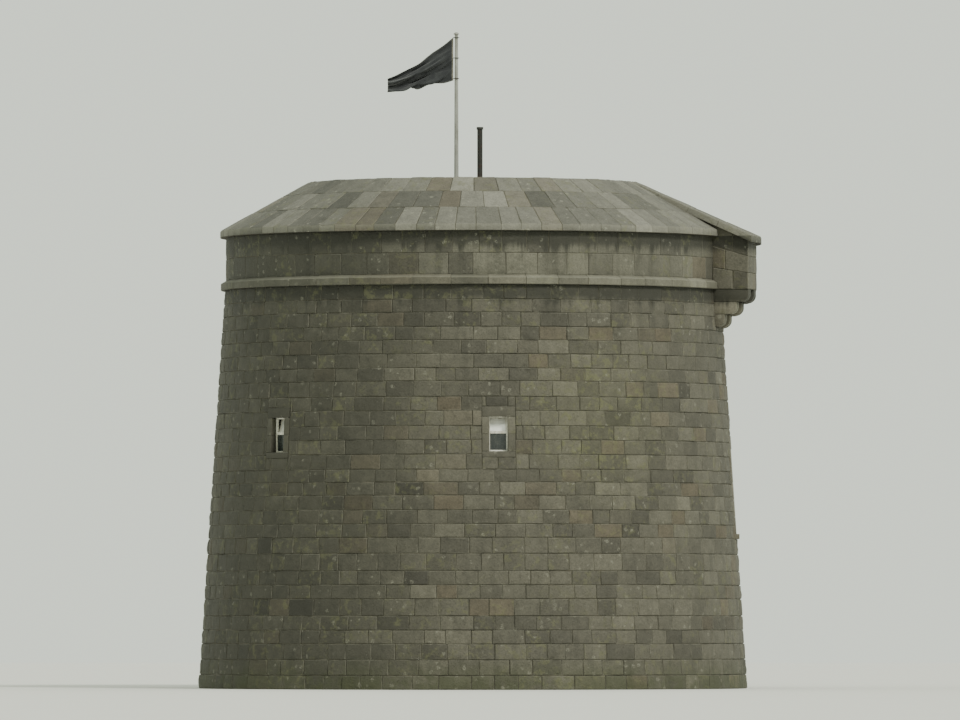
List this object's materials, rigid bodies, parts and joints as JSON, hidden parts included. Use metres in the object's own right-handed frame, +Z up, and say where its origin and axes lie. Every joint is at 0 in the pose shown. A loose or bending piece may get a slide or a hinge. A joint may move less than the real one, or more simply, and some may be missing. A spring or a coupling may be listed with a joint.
{
  "type": "martello tower",
  "caption": "Squat round granite gun tower with battered walls, sloping-topped parapet, box over an upper door, small windows, flagpole and flag.",
  "frame": {"origin": "on the tower's axis at ground level", "axes": "+Z up; +X from the axis through the door and the machicolation; -Y towards the side that the picture shows"},
  "size_m": [13.5698, 13.1996, 15.86],
  "materials": {
    "dressed": "dressed granite, weathered",
    "ashlar": "coursed granite ashlar, weathered",
    "parapet": "granite slabs, weathered",
    "vault": "rough granite",
    "paving": "worn granite flags",
    "floor_timber": "bare old boards",
    "door_timber": "dark stained planks",
    "black_iron": "dull black, rusted",
    "white_paint": "white gloss paint, weathered",
    "window_glass": "dusty",
    "pole_paint": "pale grey paint",
    "flag_cloth": "woven polyester"
  },
  "bodies": {
    "root": {"string_course": "dressed", "machicolation_corbels": "dressed", "machicolation_roof": "dressed", "door_surround": "dressed", "door_sill": "dressed", "window_surrounds": "dressed", "lower_wall_front": "ashlar", "lower_wall_left": "ashlar", "lower_wall_back": "ashlar", "lower_wall_door": "ashlar", "door_wall_left": "ashlar", "door_wall_right": "ashlar", "door_wall_over": "ashlar", "upper_wall_back": "ashlar", "upper_wall_left": "ashlar", "upper_wall_front": "ashlar", "window_wall_under": "ashlar", "window_wall_middle": "ashlar", "window_wall_over": "ashlar", "machicolation_haunches": "ashlar", "machicolation_front": "ashlar", "machicolation_cheeks": "ashlar", "parapet_front": "parapet", "parapet_left": "parapet", "parapet_back": "parapet", "parapet_door_left": "parapet", "parapet_door_right": "parapet", "vault": "vault", "gun_platform": "paving", "firing_step": "paving", "ground_floor": "paving", "pole_socket": "paving", "first_floor_joists": "floor_timber", "first_floor": "floor_timber", "door_leaf": "door_timber", "door_ironwork": "black_iron", "iron_post": "black_iron", "flag_ties": "black_iron", "window_frames": "white_paint", "window_hoppers": "white_paint", "window_glass": "window_glass", "flagpole": "pole_paint", "pole_truck": "pole_paint", "flag": "flag_cloth"}
  },
  "joints": []
}
